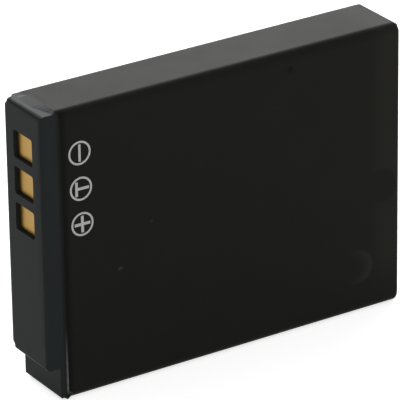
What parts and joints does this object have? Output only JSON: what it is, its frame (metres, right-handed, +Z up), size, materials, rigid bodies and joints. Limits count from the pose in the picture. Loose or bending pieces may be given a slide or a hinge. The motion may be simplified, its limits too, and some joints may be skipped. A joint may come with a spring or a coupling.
{
  "type": "camera battery",
  "caption": "Slim rechargeable compact camera battery with recessed gold contacts at one end, a keying step below them and a dark film wrap round the cell.",
  "frame": {"origin": "centre of the pack's outline on the surface that it stands on, under the long narrow edge", "axes": "+X from the contact face towards the base, +Y through the thickness away from the marked face, +Z up the width towards the end where the contacts lie"},
  "size_m": [0.0438, 0.0078, 0.032],
  "materials": {
    "cap_plastic": "fine moulded texture, dark grey",
    "printed_film": "satin printed film, near black",
    "gold_plate": "gold plated, satin",
    "nickel": "rolled nickel",
    "can_aluminium": "drawn aluminium, satin",
    "board_laminate": "green solder mask",
    "chip_resin": "black moulding resin",
    "chip_ceramic": "fired ceramic",
    "holder_plastic": "natural moulded plastic",
    "cutoff_body": "dark moulded body",
    "insulating_paper": "pressed paper",
    "gasket_plastic": "sealing plastic",
    "foam_tape": "soft foam"
  },
  "bodies": {
    "root": {"terminal_cap": "cap_plastic", "contact_negative": "gold_plate", "contact_thermistor": "gold_plate", "contact_positive": "gold_plate", "protection_board": "board_laminate", "protection_ic": "chip_resin", "mosfet_pair": "chip_resin", "supply_resistor": "chip_resin", "supply_capacitor": "chip_ceramic", "sense_resistor": "chip_resin", "thermistor": "chip_ceramic", "board_holder": "holder_plastic", "negative_lead": "nickel", "positive_lead": "nickel", "thermal_cutoff": "cutoff_body", "insulating_paper": "insulating_paper", "cell": "can_aluminium", "cell_rivet": "nickel", "rivet_gasket": "gasket_plastic", "fill_plug": "can_aluminium", "clad_tab": "nickel", "base_tape": "foam_tape", "base_cap": "cap_plastic", "wrap_label": "printed_film"}
  },
  "joints": []
}
